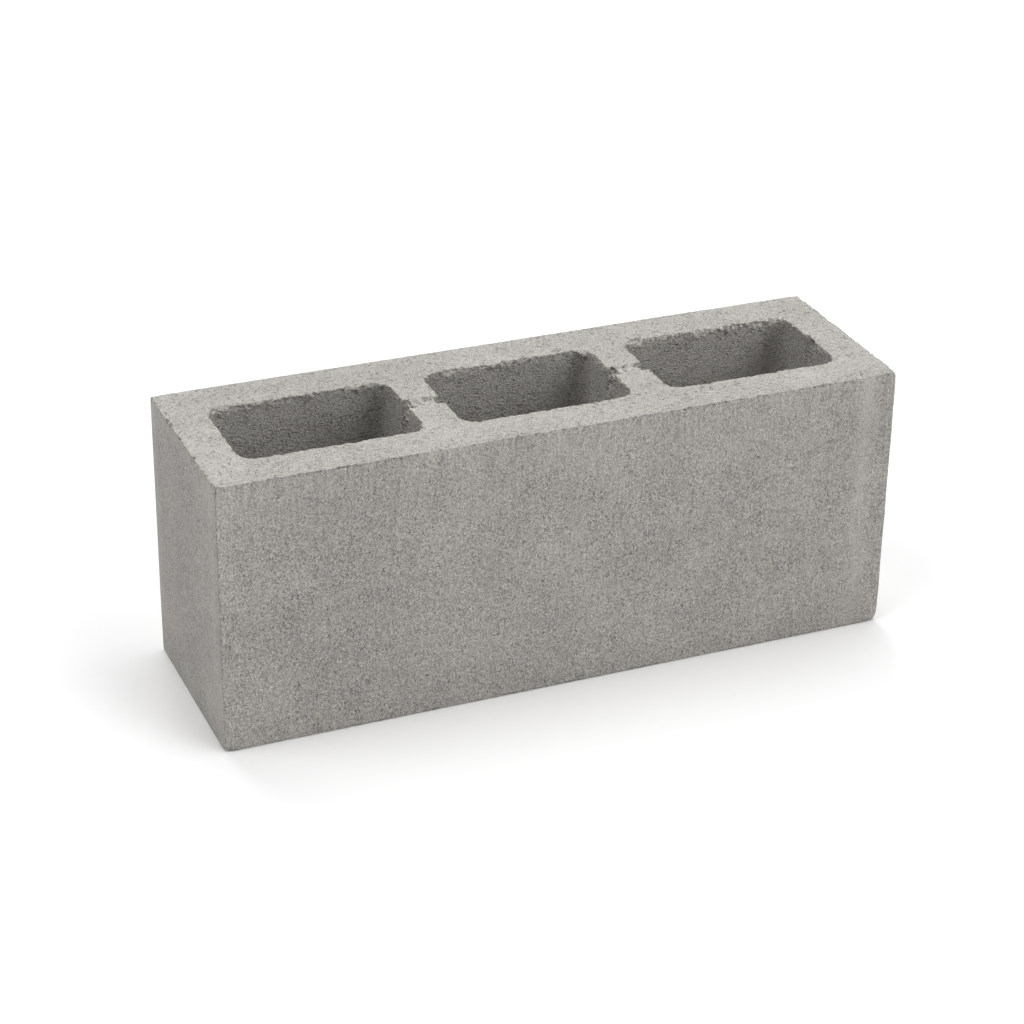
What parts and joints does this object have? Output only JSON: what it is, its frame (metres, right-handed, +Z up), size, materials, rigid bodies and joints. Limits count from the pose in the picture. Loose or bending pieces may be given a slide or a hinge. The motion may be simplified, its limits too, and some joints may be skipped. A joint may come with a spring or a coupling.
{
  "type": "hollow concrete block",
  "caption": "Hollow concrete masonry block, a plain rectangular body with tapered rectangular cores open from bed to bed, laid in mortar to build walls.",
  "frame": {"origin": "middle of the underside, the bed that the block stands on", "axes": "+X along the block's length, +Y across its width, +Z up through the cores"},
  "size_m": [0.5, 0.15, 0.2],
  "materials": {
    "concrete": "matte"
  },
  "bodies": {
    "root": {"block": "concrete"}
  },
  "joints": []
}
